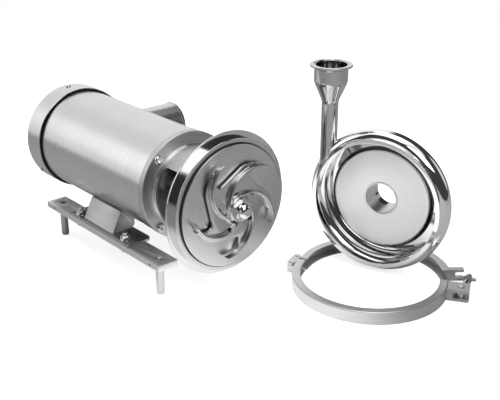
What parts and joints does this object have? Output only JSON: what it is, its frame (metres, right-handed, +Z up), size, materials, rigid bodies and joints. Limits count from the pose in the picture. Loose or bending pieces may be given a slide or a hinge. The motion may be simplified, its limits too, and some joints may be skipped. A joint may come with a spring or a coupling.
{
  "type": "centrifugal pump",
  "caption": "Round stainless motor on railed feet with a lantern adapter, backplate and scalloped open impeller; bowl casing with a vertical outlet and a hinged ring clamp stand beside it.",
  "frame": {"origin": "middle of the whole group's box, on the floor", "axes": "+Z up, +Y along the shaft from the impeller to the motor's rear, +X towards the casing"},
  "size_m": [0.413, 0.6722, 0.313],
  "materials": {
    "brushed_stainless": "brushed",
    "polished_stainless": "mirror polished",
    "satin_stainless": "satin",
    "cast_stainless": "satin",
    "zinc_steel": "zinc plated",
    "bearing_steel": "ground",
    "core_steel": "laminated",
    "enamelled_copper": "enamelled wire",
    "fan_plastic": "moulded",
    "black_rubber": "moulded",
    "seal_ceramic": "lapped",
    "seal_carbon": "lapped"
  },
  "bodies": {
    "drive_unit": {"motor_shell": "brushed_stainless", "front_endbell": "brushed_stainless", "rear_endbell": "cast_stainless", "fan_cover": "brushed_stainless", "fan_cover_screws": "satin_stainless", "conduit_box": "polished_stainless", "conduit_box_cover": "polished_stainless", "conduit_cover_screws": "satin_stainless", "stator_core": "core_steel", "stator_windings": "enamelled_copper", "front_bearing_outer": "bearing_steel", "rear_bearing_outer": "bearing_steel", "adapter": "cast_stainless", "adapter_bolts": "zinc_steel", "backplate": "polished_stainless", "backplate_screws": "zinc_steel", "casing_gasket": "black_rubber", "seal_seat": "seal_ceramic", "foot_bracket_left": "polished_stainless", "foot_bracket_right": "polished_stainless", "rail_left": "satin_stainless", "rail_right": "satin_stainless", "foot_bolts": "zinc_steel", "foot_washers": "zinc_steel", "foot_nuts": "zinc_steel", "leg_set_screws": "zinc_steel"},
    "rotor": {"motor_shaft": "bearing_steel", "rotor_core": "core_steel", "front_bearing_inner": "bearing_steel", "rear_bearing_inner": "bearing_steel", "cooling_fan": "fan_plastic", "stub_shaft": "satin_stainless", "shaft_collar": "satin_stainless", "collar_screw": "zinc_steel", "impeller": "satin_stainless", "impeller_nut": "polished_stainless", "seal_ring": "seal_carbon", "seal_bellows": "black_rubber"},
    "leg_front_left": {"front_left_leg": "satin_stainless"},
    "leg_front_right": {"front_right_leg": "satin_stainless"},
    "leg_rear_left": {"rear_left_leg": "satin_stainless"},
    "leg_rear_right": {"rear_right_leg": "satin_stainless"},
    "casing": {"casing_bowl": "polished_stainless", "suction_tube": "polished_stainless", "suction_ferrule": "polished_stainless", "discharge_tube": "polished_stainless", "discharge_reducer": "polished_stainless", "discharge_ferrule": "polished_stainless"},
    "clamp_near": {"clamp_near_half": "satin_stainless", "swing_bolt_pin": "satin_stainless"},
    "clamp_link": {"hinge_link": "satin_stainless", "hinge_pins": "satin_stainless"},
    "clamp_far": {"clamp_far_half": "satin_stainless"},
    "clamp_bolt": {"swing_bolt": "satin_stainless"},
    "clamp_nut": {"wing_nut": "satin_stainless"}
  },
  "joints": [
    {"name": "rotor_spin", "type": "hinge", "parent": "drive_unit", "child": "rotor", "pos_m": [-0.101, -0.0877, 0.146], "axis": [0, 1, 0], "continuous": true},
    {"name": "front_left_leg_slide", "type": "slide", "parent": "drive_unit", "child": "leg_front_left", "axis": [0, 0, 1], "range_m": [0, 0.025]},
    {"name": "front_right_leg_slide", "type": "slide", "parent": "drive_unit", "child": "leg_front_right", "axis": [0, 0, 1], "range_m": [0, 0.025]},
    {"name": "rear_left_leg_slide", "type": "slide", "parent": "drive_unit", "child": "leg_rear_left", "axis": [0, 0, 1], "range_m": [0, 0.025]},
    {"name": "rear_right_leg_slide", "type": "slide", "parent": "drive_unit", "child": "leg_rear_right", "axis": [0, 0, 1], "range_m": [0, 0.025]},
    {"name": "casing_lift", "type": "slide", "parent": "drive_unit", "child": "casing", "axis": [0, 0, 1], "range_m": [0, 0.15]},
    {"name": "clamp_lift", "type": "slide", "parent": "drive_unit", "child": "clamp_near", "axis": [0, 0, 1], "range_m": [0, 0.006]},
    {"name": "link_swing", "type": "hinge", "parent": "clamp_near", "child": "clamp_link", "pos_m": [0.01826, -0.0971, 0], "axis": [0, 0, 1], "range_deg": [0, 20]},
    {"name": "far_half_swing", "type": "hinge", "parent": "clamp_link", "child": "clamp_far", "pos_m": [0.04004, -0.08808, 0], "axis": [0, 0, 1], "range_deg": [-7, 60]},
    {"name": "swing_bolt_turn", "type": "hinge", "parent": "clamp_near", "child": "clamp_bolt", "pos_m": [0.14701, -0.31934, 0.01], "axis": [0, 0, -1], "range_deg": [0, 75]},
    {"name": "wing_nut_turn", "type": "hinge", "parent": "clamp_bolt", "child": "clamp_nut", "pos_m": [0.14701, -0.31934, 0.01], "axis": [0.9205, 0.3907, 0], "continuous": true}
  ]
}
